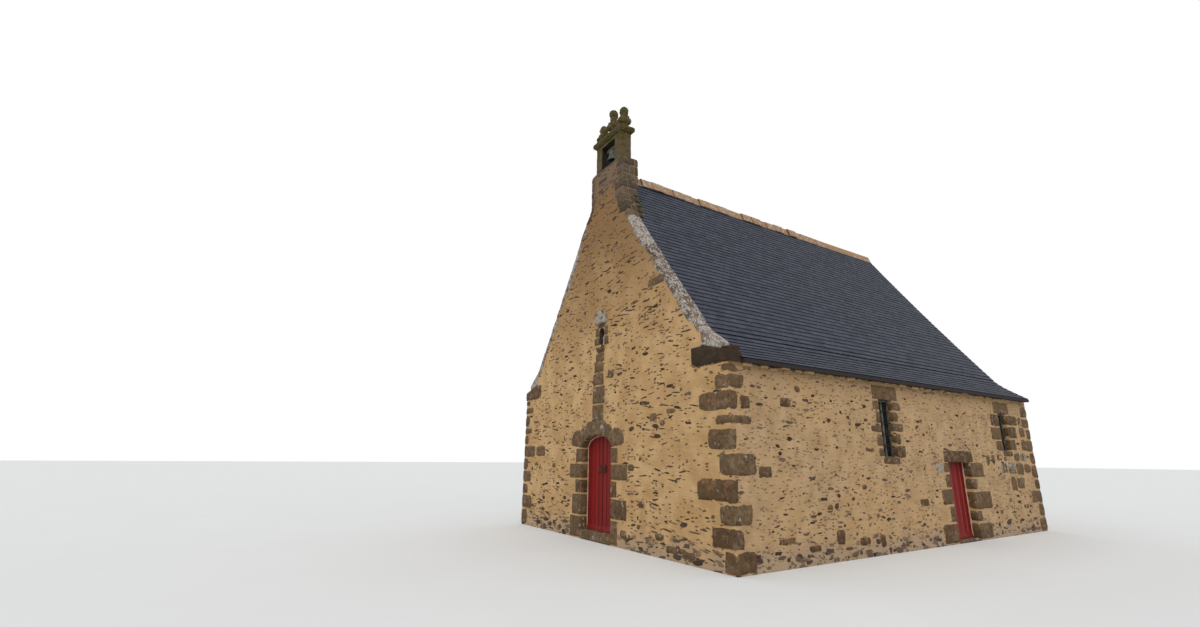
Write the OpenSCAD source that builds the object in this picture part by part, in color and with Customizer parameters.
// Small rural chapel: rubble walls, a steep slate roof, a front gable with a bell-cote.
// Millimetres, +Z up. The origin is the centre of the flat base. The front gable faces -Y.

/* [Walls] */
// Width of the front gable over its outer faces
width = 8430; // [7400:10:9600]
// Length of the chapel from front face to rear face
length = 11800; // [10800:10:14000]
// Thickness of every outer wall
wall_t = 700; // [620:10:800]
// Height of the side walls at their outer face
wall_h = 3470; // [3470:10:3700]
// Height at which the front gable starts above the door
gable_from = 2900; // [2850:10:3200]
// Top of the stone floor above the base
floor_h = 50; // [30:5:55]

/* [Roof] */
// Height of the slates at the ridge
ridge_h = 9200; // [8800:10:9600]
// Distance from the wall face in to where the slope starts to flare
flare_run = 665; // [600:5:760]
// Height of the slates where the flare starts
flare_h = 4130; // [4050:10:4250]
// Dip of the slope below a straight line
roof_sag = 85; // [0:5:140]
// Pitch of the flared foot at the eave, in degrees
eave_pitch = 32; // [22:1:38]
// Overhang of the eaves past the side walls
eave_over = 120; // [60:5:200]
// Thickness of the slate edge at the eave
eave_edge = 70; // [50:5:110]
// Depth of the roof, slates and timber, measured upright
roof_v = 300; // [220:10:340]
// Overhang of the roof past the rear wall
verge_over = 40; // [10:5:120]
// Half width of the ridge tiles
ridge_cap_w = 130; // [90:5:180]
// Rise of the ridge tiles above the slates
ridge_cap_rise = 70; // [40:5:120]
// Mortar bed under the edges of the ridge tiles
ridge_bed = 1; // [1:1:10]

/* [Gable coping] */
// Thickness of the coping stones from front to back
coping_t = 300; // [240:10:400]
// Rise of the coping above the slates
coping_rise = 60; // [20:5:160]
// Length of the kneeler stones in from the wall face
kneeler_in = 945; // [860:5:1100]
// Projection of the kneeler stones past the side walls
kneeler_out = 40; // [10:5:90]
// Height of the kneeler stones at their outer end
kneeler_low = 200; // [140:5:240]
// Height of the kneeler stones at the coping
kneeler_high = 400; // [370:5:460]

/* [Front door] */
// Centre of the front door, across the gable
door_x = -190; // [-400:10:200]
// Width of the front doorway between its jamb stones
door_w = 1320; // [1150:10:1500]
// Height at which the arch of the front door springs
door_spring = 2050; // [1900:10:2100]
// Rise of the arch above its springing
door_rise = 290; // [220:10:340]
// Depth from the wall face to the back of the front jamb stones
door_recess = 190; // [150:5:240]
// Width of the front jamb stones
jamb_w = 250; // [200:5:320]
// Depth of the arch stones at the crown
arch_t = 340; // [280:10:400]
// Height of the front door sill
sill_h = 200; // [150:5:230]

/* [Side door] */
// Centre of the side door, along the wall
side_door_y = 1640; // [1300:10:2000]
// Width of the side doorway between its jamb stones
side_door_w = 1030; // [900:10:1150]
// Underside of the side door lintel
side_door_head = 1790; // [1750:10:2100]
// Height of the side door lintel
side_lintel_h = 270; // [220:10:330]
// Depth from the wall face to the back of the side jamb stones
side_recess_d = 180; // [150:5:240]
// Width of the side jamb stones
side_jamb_w = 150; // [130:5:220]
// Height of the side door sill
side_sill_h = 60; // [60:5:120]

/* [Door leaves] */
// How much wider each side of a doorway is behind its jamb stones
embrasure = 100; // [90:5:130]
// How far a leaf reaches behind its jamb stones
rebate = 25; // [18:1:32]
// Thickness of a leaf
leaf_t = 45; // [38:1:55]
// Clearance between a leaf and the stones round it
leaf_gap = 8; // [7:1:12]
// Clearance between the two front leaves
meet_gap = 10; // [10:1:14]
// Height of the weather rail at the foot of a leaf
rail_h = 110; // [80:5:140]
// Projection of the weather rail
rail_out = 25; // [15:1:30]
// Height of the lock cases above the base
lock_z = 1570; // [1400:10:1700]
// Height of a lock case
lock_h = 165; // [120:5:200]
// Width of a lock case
lock_w = 150; // [110:5:180]
// Projection of a lock case
lock_out = 30; // [20:1:32]
// Radius of the hinge pins
pin_r = 8; // [6:0.5:9]
// Running clearance at the hinge pins and bell pins
pin_gap = 0.3; // [0.2:0.05:0.5]
// Wall of the hinge eyes
eye_wall = 8; // [6:0.5:10]
// Height of the hinge straps
strap_h = 45; // [35:1:60]
// Length of the hinge straps from the pin
strap_len = 480; // [350:10:560]
// Distance of the lower and upper straps from the ends of a leaf
strap_inset = 230; // [180:10:320]
// Distance of the hinge pin in from the edge of its leaf
pin_in = 8; // [8:1:14]
// Extra clearance at the ends of a weather rail
rail_end_gap = 2; // [1:1:6]

/* [Windows] */
// Distance from the front face to the centre of the front windows
win1_in = 4710; // [4300:10:5000]
// Width of the front windows
win1_w = 520; // [420:10:640]
// Underside of the front windows
win1_low = 1860; // [1700:10:2000]
// Top of the front windows
win1_high = 3100; // [2900:10:3120]
// Distance from the rear face to the centre of the rear windows
win2_in = 1580; // [1500:10:1900]
// Width of the rear windows
win2_w = 460; // [380:10:560]
// Underside of the rear windows
win2_low = 2060; // [1900:10:2200]
// Top of the rear windows
win2_high = 3070; // [2900:10:3120]
// Height of the window lintels
win_lintel_h = 300; // [220:10:330]
// How far the window lintels reach past each side
win_lintel_end = 210; // [120:10:260]
// Depth of the lintel and sill stones into the wall
win_stone_d = 160; // [120:10:200]
// Height of the window sill stones
win_sill_h = 130; // [90:5:180]
// How far the window sills reach past each side
win_sill_end = 50; // [30:5:120]
// Setback of the window frames from the wall face
frame_set_d = 100; // [80:5:220]
// Thickness of the window frames
frame_t = 60; // [45:1:80]
// Face width of the window frames
frame_w = 40; // [30:1:55]
// Thickness of the window glass
pane_t = 6; // [4:1:10]

/* [Niche] */
// Width of the niche over the door
niche_w = 240; // [180:10:320]
// Underside of the niche
niche_low = 4450; // [4300:10:4700]
// Height of the niche
niche_h = 450; // [380:10:520]
// Depth of the niche
niche_d = 220; // [160:10:280]
// Gap between the niche and the canopy stone above it
canopy_gap = 100; // [60:5:180]
// Width of the canopy stone
canopy_w = 470; // [380:10:600]
// Height of the canopy stone
canopy_h = 330; // [260:10:380]
// Projection of the canopy stone
canopy_out = 60; // [30:5:120]
// Height of the corbel under the niche
corbel_h = 160; // [120:10:220]
// Projection of the corbel
corbel_out = 100; // [60:5:160]
// How far the canopy and corbel are set into the wall
stone_in = 120; // [80:5:180]
// How far the corbel reaches past each side of the niche
corbel_side = 10; // [5:5:40]
// Height of the standing figure
figure_h = 330; // [280:5:360]

/* [Bell-cote] */
// Centre of the bell-cote, across the gable
cote_x = 150; // [-100:10:250]
// Width of the bell-cote base
cote_w = 1480; // [1380:10:1600]
// Depth of the bell-cote base
cote_d = 460; // [430:10:520]
// Width of the sloping foot each side of the base
cote_foot = 300; // [200:10:400]
// Height of the upright part of the base
cote_upright = 950; // [850:10:1050]
// Rise of the top of the base above the ridge
cote_rise = 0; // [0:5:100]
// Rise of the weathering between base and piers
cote_weather = 100; // [70:5:140]
// Width over the two piers
piers_w = 1160; // [1100:10:1240]
// Depth of the piers
piers_d = 320; // [290:10:380]
// Setback of the piers from the front face
piers_set = 40; // [20:5:60]
// Width of the bell opening
bell_gap_w = 600; // [560:10:640]
// Height of the bell opening
bell_gap_h = 650; // [630:10:720]
// Height of the lintel stone over the bell
cote_head_h = 100; // [80:5:140]
// Height of the cornice slab
cornice_h = 140; // [100:5:180]
// Projection of the cornice slab
cornice_out = 80; // [50:5:110]
// Spacing of the finials
finial_gap = 500; // [460:10:540]
// Radius of the lower lobes of a finial
finial_r = 225; // [180:5:228]
// Radius of the top lobe of a finial
finial_top_r = 140; // [110:5:160]
// Height of the outer finials
finial_h = 660; // [600:10:760]
// Extra height of the middle finial
finial_more = 200; // [120:10:260]

/* [Bell] */
// Radius of the bell at its mouth
bell_r = 190; // [150:5:200]
// Height of the bell
bell_h = 330; // [280:5:340]
// Wall of the bell
bell_wall = 22; // [16:1:30]
// Height of the bell's pins below the lintel stone
bell_drop = 80; // [80:5:100]
// Height of the headstock
stock_h = 90; // [70:5:100]
// Depth of the headstock
stock_d = 60; // [50:5:80]
// Clearance at each end of the headstock
stock_gap = 6; // [5:1:12]
// Radius of the bell's pins
bell_pin_r = 12; // [10:1:16]
// Length of the bell's pins in the piers
bell_pin_len = 50; // [40:5:70]
// Clearance past the end of the bell's pins
bell_pin_end = 2; // [1:1:6]
// Height of the crown between bell and headstock
crown_h = 35; // [25:5:50]
// Radius of the clapper's ball
clapper_r = 28; // [20:1:36]

/* [Hidden] */
$fn = 64;

// Outer faces
half_w = width / 2;
front_y = -length / 2;
rear_y = length / 2;
in_x = half_w - wall_t;

// Roof section: slope_z is the slate height at a distance x from the ridge
slope_steps = 6;
flare_steps = 5;
flare_x = half_w - flare_run;
eave_x = half_w + eave_over;
eave_z = wall_h + eave_edge;
function slope_z(x) = ridge_h + (flare_h - ridge_h) * x / flare_x
    - 4 * roof_sag * (x / flare_x) * (1 - x / flare_x);
function under_z(x) = slope_z(x) - roof_v;
foot_slope = (flare_h - ridge_h) / flare_x + 4 * roof_sag / flare_x;
eave_slope = -tan(eave_pitch);
knee_run = (flare_h - eave_z + eave_slope * (eave_x - flare_x)) / (eave_slope - foot_slope);
knee = [flare_x + knee_run, flare_h + foot_slope * knee_run];
function curve(a, b, c, t) = (1 - t) * (1 - t) * a + 2 * t * (1 - t) * b + t * t * c;
function slope_from(x0) = [for (i = [0 : slope_steps])
    let (x = x0 + (flare_x - x0) * i / slope_steps) [x, slope_z(x)]];
flare_points = [for (i = [1 : flare_steps])
    curve([flare_x, flare_h], knee, [eave_x, eave_z], i / flare_steps)];
function under_from(x0, x1) = [for (i = [0 : slope_steps])
    let (x = x0 + (x1 - x0) * i / slope_steps) [x, under_z(x)]];
function backward(points) = [for (i = [len(points) - 1 : -1 : 0]) points[i]];
function mirrored(points) = [for (p = points) [-p[0], p[1]]];

// Bell-cote heights and places
cote_base_h = ridge_h + cote_rise;
cote_shoulder = cote_base_h - cote_upright;
foot_right = cote_x + cote_w / 2 + cote_foot;
foot_left = cote_x - cote_w / 2 - cote_foot;
cote_low = under_z(foot_right);
piers_low = cote_base_h + cote_weather;
piers_high = piers_low + bell_gap_h;
cornice_low = piers_high + cote_head_h;
finial_low = cornice_low + cornice_h;
piers_y = front_y + piers_set;
bell_y = piers_y + piers_d / 2;
bell_z = piers_high - bell_drop;
crown_z = bell_z - stock_h / 2 - crown_h;
stock_half = bell_gap_w / 2 - stock_gap;

// Front doorway
door_half = door_w / 2;
arch_steps = 32;
embrasure_head = door_spring + door_rise + embrasure;
door_back = front_y + door_recess;

// Side doorway, measured from the outer face of the right wall
side_half = side_door_w / 2;
side_back = half_w - side_recess_d;
side_head_in = side_door_head + embrasure;
left_split_y = side_door_y;

// Leaves, in a leaf's own frame: the pin is the origin, +X runs to the free edge, +Y inwards
eye_r = pin_r + pin_gap + eye_wall;
leaf_front = -(leaf_t + eye_r);
leaf_back = -eye_r;
rail_gap = leaf_gap + rail_end_gap;
front_leaf_w = door_half + rebate - meet_gap / 2;
side_leaf_w = side_door_w + 2 * rebate;
front_pin_y = door_back + leaf_gap - leaf_front;
front_pin_x = door_half + rebate - pin_in;
side_pin_x = side_back - leaf_gap + leaf_front;
side_pin_y = side_door_y + side_half + rebate - pin_in;
front_low = sill_h + leaf_gap;
side_low = side_sill_h + leaf_gap;
front_strap_z = [front_low + strap_inset, door_spring - strap_inset];
side_strap_z = [side_low + strap_inset, side_door_head - strap_inset];
strap_t = eye_wall;
pintle_reach = embrasure - rebate + pin_in;
knob_r = 18;
knob_out = 35;

// Windows: centre along the wall, width, underside and top
windows = [[front_y + win1_in, win1_w, win1_low, win1_high],
    [rear_y - win2_in, win2_w, win2_low, win2_high]];

// Small spare length that carries a cut clean through a face
past = 10;

// Upright slab in the XZ plane, from y0 back to y1
module slab_xz(points, y0, y1) {
    translate([0, y1, 0]) rotate([90, 0, 0]) linear_extrude(y1 - y0) polygon(points);
}

// Box between two corners
module box(a, b) {
    translate(a) cube(b - a);
}

// Half ellipse with its flat side down, as a list of points
function half_ellipse(a, b) = [for (i = [0 : arch_steps])
    [a * cos(180 * i / arch_steps), b * sin(180 * i / arch_steps)]];

// Outline of an arched opening round the front door, larger by a margin
function door_outline(side, top, low) = concat([[side, low - door_spring]],
    half_ellipse(side, top), [[-side, low - door_spring]]);

module door_shape(margin, low) {
    translate([door_x, door_spring])
        polygon(door_outline(door_half + margin, door_rise + margin, low));
}

// Side wall section from the base to its raked head
wall_section = [[half_w, 0], [half_w, wall_h], [in_x, under_z(in_x)], [in_x, 0]];

module side_wall(y0, y1) {
    slab_xz(wall_section, y0, y1);
}

// Front of the gable under the coping, with seats for the kneelers and the bell-cote
function rake_under(foot_x) = concat(under_from(foot_x, flare_x),
    [[half_w - kneeler_in, under_z(flare_x)], [half_w - kneeler_in, wall_h], [half_w, wall_h]]);
gable_front = concat([[half_w, gable_from]], backward(rake_under(foot_right)),
    [[foot_right, cote_low], [foot_left, cote_low]],
    mirrored(rake_under(-foot_left)), [[-half_w, gable_from]]);

// Half section of a wall that ends under the roof
half_gable = concat(under_from(0, in_x), [[half_w, wall_h]]);

module gable_body(low, y0, y1) {
    slab_xz(concat([[half_w, low]], backward(half_gable), mirrored(half_gable),
        [[-half_w, low]]), y0, y1);
}

// Space that the deep part of the bell-cote base takes out of the roof and the gable
module cote_seat() {
    box([cote_x - cote_w / 2, front_y + coping_t, cote_shoulder],
        [cote_x + cote_w / 2, front_y + cote_d, cote_base_h]);
}

module niche_hollow() {
    translate([0, front_y + niche_d, niche_low]) rotate([90, 0, 0])
        linear_extrude(niche_d + past) {
            translate([-niche_w / 2, 0]) square([niche_w, niche_h - niche_w / 2]);
            translate([0, niche_h - niche_w / 2]) circle(niche_w / 2);
        }
}

module canopy_block() {
    slab_xz([[-canopy_w / 2, niche_low + niche_h + canopy_gap],
        [canopy_w / 2, niche_low + niche_h + canopy_gap],
        [canopy_w / 2, niche_low + niche_h + canopy_gap + canopy_h * 0.6],
        [0, niche_low + niche_h + canopy_gap + canopy_h],
        [-canopy_w / 2, niche_low + niche_h + canopy_gap + canopy_h * 0.6]],
        front_y - canopy_out, front_y + stone_in);
}

module corbel_block() {
    half = niche_w / 2 + corbel_side;
    translate([-half, 0, 0]) rotate([90, 0, 90]) linear_extrude(2 * half)
        polygon([[front_y + stone_in, niche_low - corbel_h], [front_y, niche_low - corbel_h],
            [front_y - corbel_out, niche_low - corbel_h / 3], [front_y - corbel_out, niche_low],
            [front_y + stone_in, niche_low]]);
}

// Plan of the front wall beside the door: thin by the jamb stones, full behind them
module front_wall_side(side) {
    color("tan") linear_extrude(gable_from)
        polygon([[side * half_w, front_y], [door_x + side * (door_half + jamb_w), front_y],
            [door_x + side * (door_half + jamb_w), door_back],
            [door_x + side * (door_half + embrasure), door_back],
            [door_x + side * (door_half + embrasure), front_y + wall_t],
            [side * half_w, front_y + wall_t]]);
}

module front_wall_left() {
    front_wall_side(-1);
}

module front_wall_right() {
    front_wall_side(1);
}

module front_wall_over_door() {
    color("tan") {
        difference() {
            box([door_x - door_half - jamb_w, front_y, door_spring],
                [door_x + door_half + jamb_w, door_back, gable_from]);
            translate([door_x, door_back + past, door_spring]) rotate([90, 0, 0])
                linear_extrude(door_recess + 2 * past)
                    polygon(half_ellipse(door_half + jamb_w, door_rise + arch_t));
        }
        box([door_x - door_half - embrasure, door_back, embrasure_head],
            [door_x + door_half + embrasure, front_y + wall_t, gable_from]);
    }
}

module front_gable() {
    color("tan") difference() {
        union() {
            slab_xz(gable_front, front_y, front_y + coping_t);
            gable_body(gable_from, front_y + coping_t, front_y + wall_t);
        }
        cote_seat();
        niche_hollow();
        canopy_block();
        corbel_block();
    }
}

// Window opening, with seats for its lintel and sill
module window_cut(w) {
    box([in_x - past, w[0] - w[1] / 2, w[2]], [half_w + past, w[0] + w[1] / 2, w[3]]);
    window_stones(w, past);
}

module window_stones(w, beyond) {
    box([half_w - win_stone_d, w[0] - w[1] / 2 - win_lintel_end, w[3]],
        [half_w + beyond, w[0] + w[1] / 2 + win_lintel_end, w[3] + win_lintel_h]);
    box([half_w - win_stone_d, w[0] - w[1] / 2 - win_sill_end, w[2] - win_sill_h],
        [half_w + beyond, w[0] + w[1] / 2 + win_sill_end, w[2]]);
}

module right_wall_front() {
    color("tan") difference() {
        side_wall(front_y + wall_t, side_door_y - side_half - embrasure);
        window_cut(windows[0]);
        box([side_back, side_door_y - side_half - side_jamb_w, -past],
            [half_w + past, side_door_y, side_door_head + side_lintel_h]);
    }
}

module right_wall_rear() {
    color("tan") difference() {
        side_wall(side_door_y + side_half + embrasure, rear_y - wall_t);
        window_cut(windows[1]);
        box([side_back, side_door_y, -past],
            [half_w + past, side_door_y + side_half + side_jamb_w, side_door_head + side_lintel_h]);
    }
}

module right_wall_over_door() {
    color("tan") difference() {
        side_wall(side_door_y - side_half - embrasure, side_door_y + side_half + embrasure);
        box([in_x - past, side_door_y - side_half - embrasure - past, -past],
            [side_back, side_door_y + side_half + embrasure + past, side_head_in]);
        box([side_back - past, side_door_y - side_half - embrasure - past, -past],
            [half_w + past, side_door_y + side_half + embrasure + past,
             side_door_head + side_lintel_h]);
    }
}

module left_wall_front() {
    color("tan") mirror([1, 0, 0]) difference() {
        side_wall(front_y + wall_t, left_split_y);
        window_cut(windows[0]);
    }
}

module left_wall_rear() {
    color("tan") mirror([1, 0, 0]) difference() {
        side_wall(left_split_y, rear_y - wall_t);
        window_cut(windows[1]);
    }
}

module rear_wall() {
    color("tan") gable_body(0, rear_y - wall_t, rear_y);
}

module floor() {
    color("gray") box([-in_x, front_y + wall_t, 0], [in_x, rear_y - wall_t, floor_h]);
}

module door_sills() {
    color("darkgray") {
        linear_extrude(sill_h) polygon([[door_x - door_half, front_y],
            [door_x + door_half, front_y], [door_x + door_half, door_back],
            [door_x + door_half + embrasure, door_back],
            [door_x + door_half + embrasure, front_y + wall_t],
            [door_x - door_half - embrasure, front_y + wall_t],
            [door_x - door_half - embrasure, door_back], [door_x - door_half, door_back]]);
        linear_extrude(side_sill_h) polygon([[half_w, side_door_y - side_half],
            [half_w, side_door_y + side_half], [side_back, side_door_y + side_half],
            [side_back, side_door_y + side_half + embrasure],
            [in_x, side_door_y + side_half + embrasure],
            [in_x, side_door_y - side_half - embrasure],
            [side_back, side_door_y - side_half - embrasure],
            [side_back, side_door_y - side_half]]);
    }
}

module front_door_arch() {
    color("rosybrown") translate([door_x, door_back, door_spring]) rotate([90, 0, 0])
        linear_extrude(door_recess) difference() {
            polygon(half_ellipse(door_half + jamb_w, door_rise + arch_t));
            polygon(concat(half_ellipse(door_half, door_rise),
                [[-door_half, -past], [door_half, -past]]));
        }
}

module front_door_jambs() {
    color("rosybrown") for (side = [-1, 1])
        translate([door_x + side * (door_half + jamb_w / 2), (front_y + door_back) / 2,
            door_spring / 2])
            cube([jamb_w, door_recess, door_spring], center = true);
}

module side_door_lintel() {
    color("dimgray") box([side_back, side_door_y - side_half - side_jamb_w, side_door_head],
        [half_w, side_door_y + side_half + side_jamb_w, side_door_head + side_lintel_h]);
}

module side_door_jambs() {
    color("dimgray") for (side = [-1, 1])
        translate([(side_back + half_w) / 2, side_door_y + side * (side_half + side_jamb_w / 2),
            side_door_head / 2])
            cube([side_recess_d, side_jamb_w, side_door_head], center = true);
}

// The same windows in both side walls
module both_sides() {
    children();
    mirror([1, 0, 0]) children();
}

module window_dressings() {
    color("dimgray") both_sides() for (w = windows) window_stones(w, 0);
}

module window_frames() {
    back = half_w - frame_set_d - frame_t;
    color("darkseagreen") both_sides() for (w = windows) difference() {
        box([back, w[0] - w[1] / 2, w[2]], [back + frame_t, w[0] + w[1] / 2, w[3]]);
        for (side = [-1, 1])
            translate([back - past, w[0] + side * (w[1] - frame_w) / 4 - (w[1] - 3 * frame_w) / 4,
                w[2] + frame_w])
                cube([frame_t + 2 * past, (w[1] - 3 * frame_w) / 2, w[3] - w[2] - 2 * frame_w]);
    }
}

module window_panes() {
    middle = half_w - frame_set_d - frame_t / 2;
    color("slategray") both_sides() for (w = windows) for (side = [-1, 1])
        translate([middle - pane_t / 2,
            w[0] + side * (w[1] - frame_w) / 4 - (w[1] - 3 * frame_w) / 4, w[2] + frame_w])
            cube([pane_t, (w[1] - 3 * frame_w) / 2, w[3] - w[2] - 2 * frame_w]);
}

// One half of the roof, seated on the side wall and cut round the bell-cote base
roof_section = concat(slope_from(0), flare_points, [[eave_x, wall_h], [half_w, wall_h]],
    backward(under_from(0, in_x)));

module roof_right() {
    color("slategray") difference() {
        slab_xz(roof_section, front_y + coping_t, rear_y + verge_over);
        cote_seat();
    }
}

module roof_left() {
    color("slategray") difference() {
        slab_xz(mirrored(roof_section), front_y + coping_t, rear_y + verge_over);
        cote_seat();
    }
}

module ridge_cap() {
    first = slope_from(0)[1];
    drop = (ridge_h - first[1]) / first[0] * ridge_cap_w - ridge_bed;
    color("burlywood") slab_xz([[0, ridge_h], [ridge_cap_w, ridge_h - drop],
        [ridge_cap_w, ridge_h - drop + ridge_cap_rise / 2], [ridge_cap_w / 3, ridge_h + ridge_cap_rise],
        [-ridge_cap_w / 3, ridge_h + ridge_cap_rise],
        [-ridge_cap_w, ridge_h - drop + ridge_cap_rise / 2], [-ridge_cap_w, ridge_h - drop]],
        front_y + cote_d, rear_y + verge_over);
}

// Coping of one rake, from the foot of the bell-cote down to the kneeler
module coping(foot_x) {
    top = [for (p = slope_from(foot_x)) [p[0], p[1] + coping_rise]];
    slab_xz(concat(top, backward(under_from(foot_x, flare_x))), front_y, front_y + coping_t);
}

module coping_right() {
    color("gainsboro") coping(foot_right);
}

module coping_left() {
    color("gainsboro") mirror([1, 0, 0]) coping(-foot_left);
}

module kneelers() {
    section = [[half_w - kneeler_in, wall_h], [half_w + kneeler_out, wall_h],
        [half_w + kneeler_out, wall_h + kneeler_low], [flare_x, wall_h + kneeler_high],
        [flare_x, under_z(flare_x)], [half_w - kneeler_in, under_z(flare_x)]];
    color("dimgray") both_sides() slab_xz(section, front_y, front_y + coping_t);
}

module niche_dressings() {
    color("lightgray") {
        canopy_block();
        corbel_block();
    }
}

module niche_figure() {
    head_r = figure_h * 0.11;
    robe_h = figure_h - 1.8 * head_r;
    color("gray") translate([0, front_y + niche_d * 0.45, niche_low]) {
        rotate_extrude() polygon([[0, 0], [robe_h * 0.24, 0], [robe_h * 0.2, robe_h * 0.5],
            [robe_h * 0.22, robe_h * 0.82], [robe_h * 0.08, robe_h], [0, robe_h]]);
        translate([0, 0, robe_h + 0.8 * head_r]) sphere(head_r);
    }
}

module cote_base() {
    base_half = cote_w / 2;
    piers_half = piers_w / 2;
    section = [[foot_left, cote_low], [foot_right, cote_low],
        [foot_right, slope_z(foot_right) + coping_rise], [cote_x + base_half, cote_shoulder],
        [cote_x + base_half, cote_base_h], [cote_x - base_half, cote_base_h],
        [cote_x - base_half, cote_shoulder], [foot_left, slope_z(-foot_left) + coping_rise]];
    color("olivedrab") {
        slab_xz(section, front_y, front_y + coping_t);
        cote_seat();
        intersection() {
            slab_xz([[cote_x - base_half, cote_base_h], [cote_x + base_half, cote_base_h],
                [cote_x + piers_half, piers_low], [cote_x - piers_half, piers_low]],
                front_y, front_y + cote_d);
            translate([cote_x - base_half, 0, 0]) rotate([90, 0, 90]) linear_extrude(cote_w)
                polygon([[front_y, cote_base_h], [front_y + cote_d, cote_base_h],
                    [piers_y + piers_d, piers_low], [piers_y, piers_low]]);
        }
    }
}

module cote_piers() {
    pier_w = (piers_w - bell_gap_w) / 2;
    color("olivedrab") difference() {
        for (side = [-1, 1])
            translate([cote_x + side * (bell_gap_w + pier_w) / 2, bell_y,
                piers_low + bell_gap_h / 2])
                cube([pier_w, piers_d, bell_gap_h], center = true);
        for (side = [-1, 1])
            translate([cote_x + side * (bell_gap_w / 2 - stock_gap), bell_y, bell_z])
                rotate([0, side * 90, 0])
                    cylinder(r = bell_pin_r + pin_gap, h = bell_pin_len + stock_gap + bell_pin_end);
    }
}

module cote_lintel() {
    color("olivedrab") box([cote_x - piers_w / 2, piers_y, piers_high],
        [cote_x + piers_w / 2, piers_y + piers_d, cornice_low]);
}

module cote_cornice() {
    half = piers_w / 2 + cornice_out;
    chamfer = cornice_out * 0.6;
    color("olivedrab") intersection() {
        slab_xz([[cote_x - half + chamfer, cornice_low], [cote_x + half - chamfer, cornice_low],
            [cote_x + half, cornice_low + chamfer], [cote_x + half, finial_low],
            [cote_x - half, finial_low], [cote_x - half, cornice_low + chamfer]],
            piers_y - cornice_out, piers_y + piers_d + cornice_out);
        translate([cote_x - half, 0, 0]) rotate([90, 0, 90]) linear_extrude(2 * half)
            polygon([[piers_y - cornice_out + chamfer, cornice_low],
                [piers_y + piers_d + cornice_out - chamfer, cornice_low],
                [piers_y + piers_d + cornice_out, cornice_low + chamfer],
                [piers_y + piers_d + cornice_out, finial_low],
                [piers_y - cornice_out, finial_low], [piers_y - cornice_out, cornice_low + chamfer]]);
    }
}

// Finial: a short neck, a wide lower bulb and a smaller bulb on top, turned as one stone
bulb_steps = 8;
function bulb(low, high, neck, out) = [for (i = [0 : bulb_steps])
    [neck + (out - neck) * sin(180 * i / bulb_steps), low + (high - low) * i / bulb_steps]];

module finial(height) {
    neck_r = finial_r * 0.45;
    waist = height - 2 * finial_top_r;
    rotate_extrude() polygon(concat([[0, 0], [neck_r, 0]],
        bulb(height * 0.12, waist, neck_r, finial_r),
        [for (i = [1 : bulb_steps]) let (turn = -60 + 150 * i / bulb_steps)
            [finial_top_r * cos(turn), height - finial_top_r + finial_top_r * sin(turn)]]));
}

module finials() {
    color("olive") for (i = [-1 : 1])
        translate([cote_x + i * finial_gap, bell_y, finial_low])
            finial(finial_h + (i == 0 ? finial_more : 0));
}

// The bell is a shell turned about its own axis
bell_outside = [[bell_r, 0], [bell_r * 0.84, bell_h * 0.16], [bell_r * 0.68, bell_h * 0.4],
    [bell_r * 0.6, bell_h * 0.7], [bell_r * 0.54, bell_h * 0.9], [bell_r * 0.36, bell_h]];
bell_inside = [[bell_r * 0.36 - bell_wall / 2, bell_h - bell_wall],
    [bell_r * 0.54 - bell_wall, bell_h * 0.9 - bell_wall / 2],
    [bell_r * 0.6 - bell_wall, bell_h * 0.7], [bell_r * 0.68 - bell_wall, bell_h * 0.4],
    [bell_r * 0.84 - bell_wall, bell_h * 0.16], [bell_r - bell_wall, 0]];

module bell() {
    color("darkseagreen") translate([cote_x, bell_y, crown_z - bell_h]) {
        rotate_extrude() polygon(concat(bell_outside, [[0, bell_h], [0, bell_h - bell_wall]],
            bell_inside));
        translate([0, 0, bell_h]) cylinder(r = stock_d / 2, h = crown_h);
    }
}

module bell_headstock() {
    color("saddlebrown") translate([cote_x, bell_y, bell_z]) {
        cube([2 * stock_half, stock_d, stock_h], center = true);
        for (side = [-1, 1])
            translate([side * stock_half, 0, 0]) rotate([0, side * 90, 0])
                cylinder(r = bell_pin_r, h = bell_pin_len + stock_gap);
    }
}

module bell_clapper() {
    rod_h = bell_h - bell_wall - clapper_r * 0.5;
    color("dimgray") translate([cote_x, bell_y, crown_z - bell_wall - rod_h]) {
        cylinder(r = clapper_r * 0.3, h = rod_h);
        sphere(clapper_r);
    }
}

// Frames of the three leaves: each puts a leaf's pin and directions in their place
module on_front_left() {
    translate([door_x - front_pin_x, front_pin_y, 0]) children();
}

module on_front_right() {
    translate([door_x + front_pin_x, front_pin_y, 0]) mirror([1, 0, 0]) children();
}

module on_side() {
    translate([side_pin_x, side_pin_y, 0]) mirror([1, 1, 0]) children();
}

// Front leaf: planks cut to the arch, with a weather rail at the foot
module front_leaf() {
    color("darkred") {
        translate([front_pin_x, leaf_back, 0]) rotate([90, 0, 0]) linear_extrude(leaf_t)
            intersection() {
                translate([-door_x, 0]) door_shape(rebate, front_low);
                translate([-door_half - rebate, front_low])
                    square([front_leaf_w, door_spring + door_rise + rebate]);
            }
        box([rebate - pin_in + rail_gap, leaf_front - rail_out, front_low],
            [front_pin_x - meet_gap / 2 - rail_gap, leaf_front, front_low + rail_h]);
    }
}

module front_leaf_left() {
    on_front_left() front_leaf();
}

module front_leaf_right() {
    on_front_right() front_leaf();
}

module side_leaf() {
    color("darkred") on_side() {
        box([-pin_in, leaf_front, side_low],
            [side_leaf_w - pin_in, leaf_back, side_door_head + rebate]);
        box([rebate - pin_in + rail_gap, leaf_front - rail_out, side_low],
            [side_leaf_w - pin_in - rebate - rail_gap, leaf_front, side_low + rail_h]);
    }
}

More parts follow.
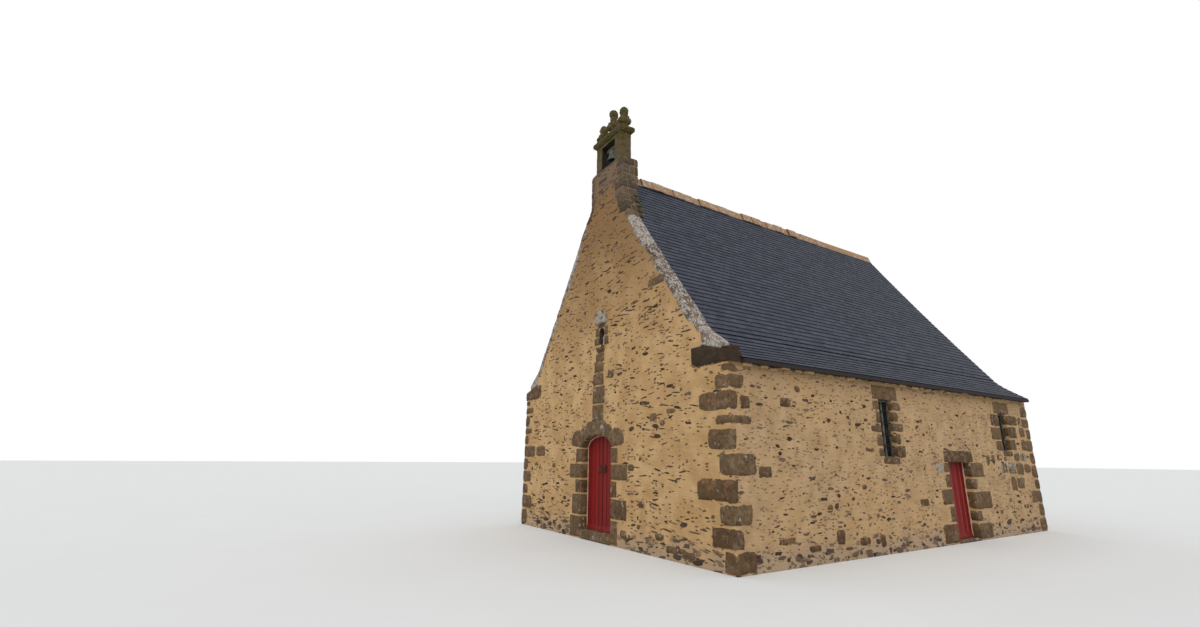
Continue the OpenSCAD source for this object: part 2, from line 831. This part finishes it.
// Straps with eyes, on the inner face of a leaf
module straps(heights) {
    color("black") for (z = heights) translate([0, 0, z]) difference() {
        union() {
            cylinder(r = eye_r, h = strap_h);
            box([0, leaf_back, 0], [strap_len, leaf_back + strap_t, strap_h]);
        }
        translate([0, 0, -past]) cylinder(r = pin_r + pin_gap, h = strap_h + 2 * past);
    }
}

module front_left_straps() {
    on_front_left() straps(front_strap_z);
}

module front_right_straps() {
    on_front_right() straps(front_strap_z);
}

module side_straps() {
    on_side() straps(side_strap_z);
}

// Pintles: an arm out of the wall under each eye, with an upright pin
module pintles(heights) {
    for (z = heights) {
        translate([0, 0, z - pin_gap - 2 * pin_r])
            cylinder(r = pin_r, h = strap_h + 3 * pin_r);
        box([-pintle_reach, -pin_r, z - pin_gap - 2 * pin_r], [0, pin_r, z - pin_gap]);
    }
}

module hinge_pintles() {
    color("black") {
        on_front_left() pintles(front_strap_z);
        on_front_right() pintles(front_strap_z);
        on_side() pintles(side_strap_z);
    }
}

// Lock case on the outer face of a leaf, near its free edge
module lock_case(free_x) {
    box([free_x - rail_gap - lock_w, leaf_front - lock_out, lock_z - lock_h / 2],
        [free_x - rail_gap, leaf_front, lock_z + lock_h / 2]);
}

module knob(free_x) {
    translate([free_x - rail_gap - knob_r * 2, leaf_front - lock_out, lock_z])
        rotate([90, 0, 0]) cylinder(r = knob_r, h = knob_out);
}

module front_lock_case() {
    color("maroon") on_front_right() {
        lock_case(front_pin_x - meet_gap / 2);
        knob(front_pin_x - meet_gap / 2);
    }
}

module front_lock_keeper() {
    color("maroon") on_front_left() lock_case(front_pin_x - meet_gap / 2);
}

module side_lock_case() {
    color("maroon") on_side() {
        lock_case(side_leaf_w - pin_in - rebate);
        knob(side_leaf_w - pin_in - rebate);
    }
}

front_wall_left();
front_wall_right();
front_wall_over_door();
front_gable();
right_wall_front();
right_wall_over_door();
right_wall_rear();
left_wall_front();
left_wall_rear();
rear_wall();
floor();
door_sills();
front_door_arch();
front_door_jambs();
side_door_lintel();
side_door_jambs();
window_dressings();
window_frames();
window_panes();
roof_right();
roof_left();
ridge_cap();
coping_right();
coping_left();
kneelers();
niche_dressings();
niche_figure();
cote_base();
cote_piers();
cote_lintel();
cote_cornice();
finials();
bell();
bell_headstock();
bell_clapper();
front_leaf_left();
front_leaf_right();
side_leaf();
front_left_straps();
front_right_straps();
side_straps();
hinge_pintles();
front_lock_case();
front_lock_keeper();
side_lock_case();
